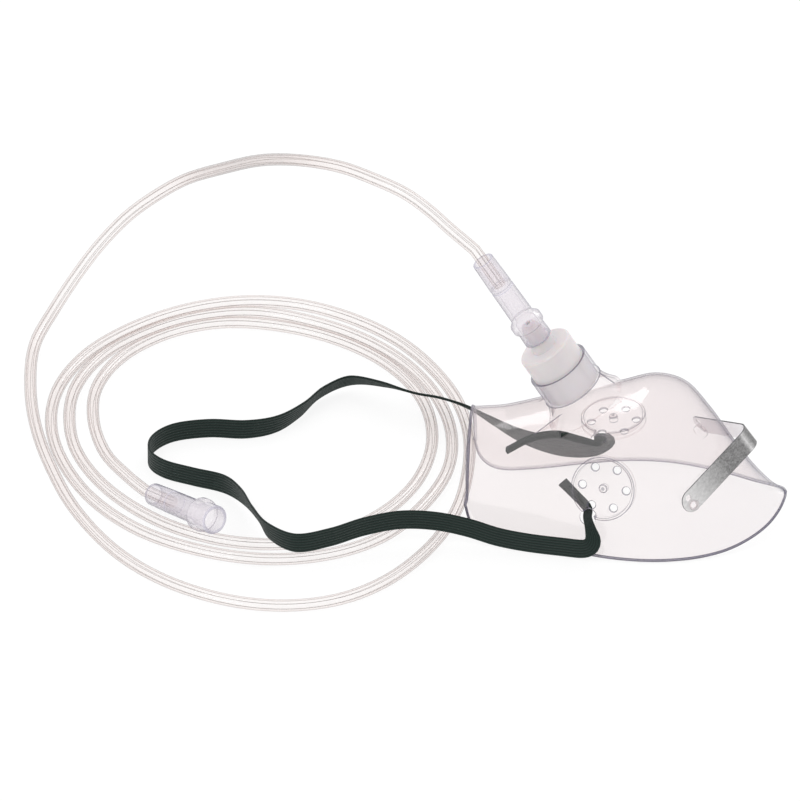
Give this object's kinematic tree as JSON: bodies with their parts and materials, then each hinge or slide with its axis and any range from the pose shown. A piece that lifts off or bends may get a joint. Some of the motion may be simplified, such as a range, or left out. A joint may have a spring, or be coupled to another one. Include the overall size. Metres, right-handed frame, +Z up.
{
  "type": "oxygen face mask",
  "caption": "Clear oxygen face mask lying on its rim, with port adapter, nose clip, elastic strap and a coiled supply tube with a connector at each end.",
  "frame": {"origin": "on the floor, under the middle of the mask without its tube and strap", "axes": "+X towards the nose bridge, +Z up; the mask lies on its rim and mirrors across the XZ plane"},
  "size_m": [0.3144, 0.2322, 0.1469],
  "materials": {
    "clear_film": "clear, glossy",
    "frosted_plug": "milky, satin",
    "clip_aluminium": "brushed",
    "clear_pvc": "clear, glossy",
    "clear_tube": "clear, glossy",
    "green_elastic": "woven, matt"
  },
  "bodies": {
    "root": {"mask_shell": "clear_film", "port_adapter": "frosted_plug", "nose_clip": "clip_aluminium", "inlet_connector": "clear_pvc", "outlet_connector": "clear_pvc", "supply_tube": "clear_tube", "tube_coil": "clear_tube", "tube_tail": "clear_tube", "elastic_strap": "green_elastic"}
  },
  "joints": []
}
